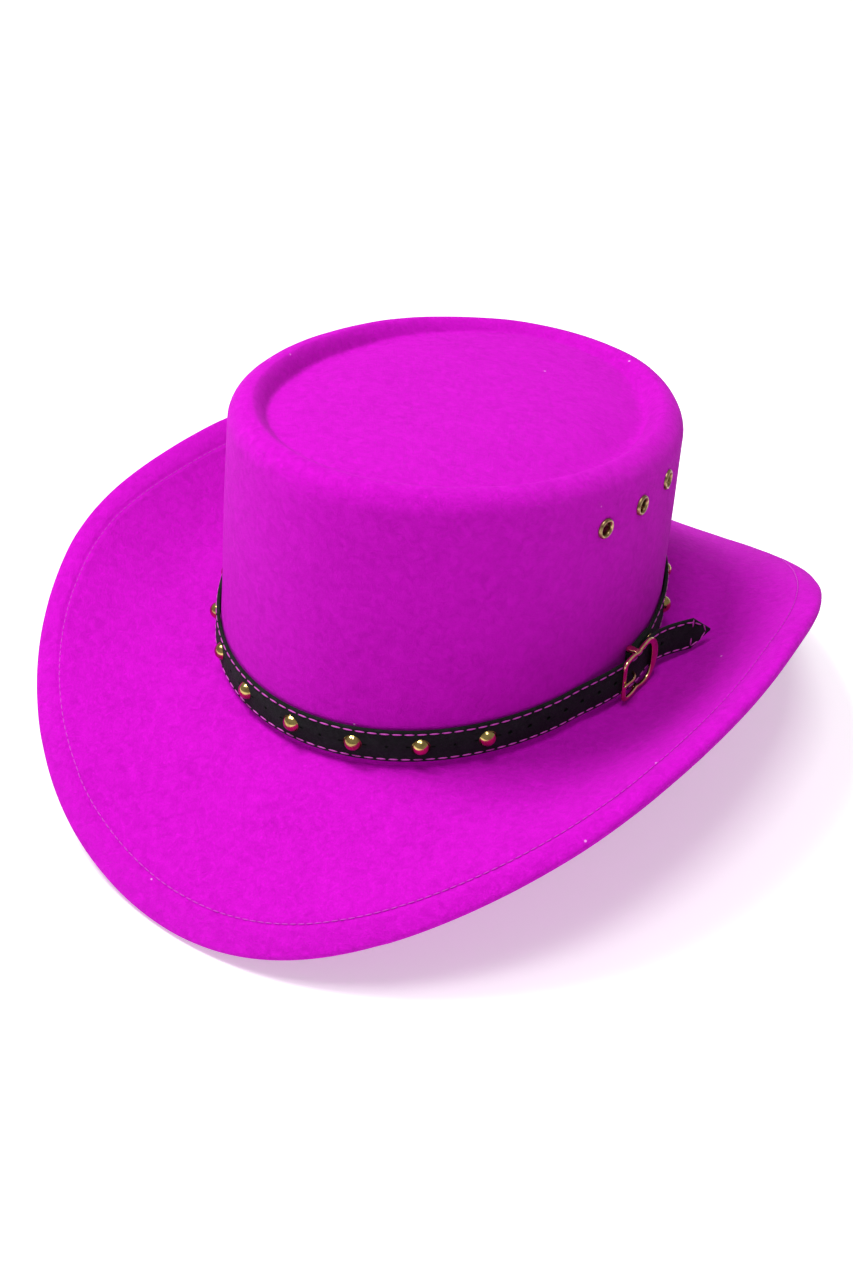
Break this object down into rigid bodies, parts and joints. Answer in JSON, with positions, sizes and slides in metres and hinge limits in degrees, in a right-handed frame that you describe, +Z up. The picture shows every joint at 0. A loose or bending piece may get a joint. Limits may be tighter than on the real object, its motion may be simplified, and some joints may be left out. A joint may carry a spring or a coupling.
{
  "type": "western hat",
  "caption": "Gambler-style felt hat with a flat creased crown, a brim curled up at the sides, and a studded hat band with a buckle.",
  "frame": {"origin": "middle of the bottom of the whole hat, on the surface that the front and back brim rest on", "axes": "+Z up out of the crown, -Y towards the hat's front, +X towards the wearer's left, where the buckle is"},
  "size_m": [0.2956, 0.3806, 0.1615],
  "materials": {
    "magenta_felt": "brushed felt",
    "steel_wire": "drawn",
    "nickel_steel": "satin",
    "black_sweatband": "woven",
    "antique_brass": "antiqued",
    "black_suede": "suede",
    "gilt_stud": "polished",
    "gilt_buckle": "polished"
  },
  "bodies": {
    "hat": {"brim_wire": "steel_wire", "eyelet_left_front": "antique_brass", "eyelet_left_middle": "antique_brass", "eyelet_left_rear": "antique_brass", "eyelet_right_front": "antique_brass", "eyelet_right_middle": "antique_brass", "eyelet_right_rear": "antique_brass", "eyelet_washer_left_front": "antique_brass", "eyelet_washer_left_middle": "antique_brass", "eyelet_washer_left_rear": "antique_brass", "eyelet_washer_right_front": "antique_brass", "eyelet_washer_right_middle": "antique_brass", "eyelet_washer_right_rear": "antique_brass", "felt_body": "magenta_felt", "sweatband": "black_sweatband", "wire_ferrule": "nickel_steel"},
    "hat_band": {"hat_band_strap": "black_suede", "dome_studs": "gilt_stud", "fold_rivets": "gilt_stud"},
    "buckle": {"buckle_frame": "gilt_buckle", "buckle_centre_bar": "nickel_steel"},
    "prong": {"buckle_prong": "gilt_buckle"}
  },
  "joints": [
    {"name": "band_lift", "type": "slide", "parent": "hat", "child": "hat_band", "axis": [0, 0, 1], "range_m": [0, 0.005]},
    {"name": "buckle_tip", "type": "hinge", "parent": "hat_band", "child": "buckle", "pos_m": [0.08872, -0.01022, 0.06082], "axis": [-0.0667, -0.0683, 0.9954], "range_deg": [-4, 1.5]},
    {"name": "prong_lift", "type": "hinge", "parent": "buckle", "child": "prong", "pos_m": [0.08872, -0.01022, 0.06082], "axis": [-0.0667, -0.0683, 0.9954], "range_deg": [0, 8]}
  ]
}
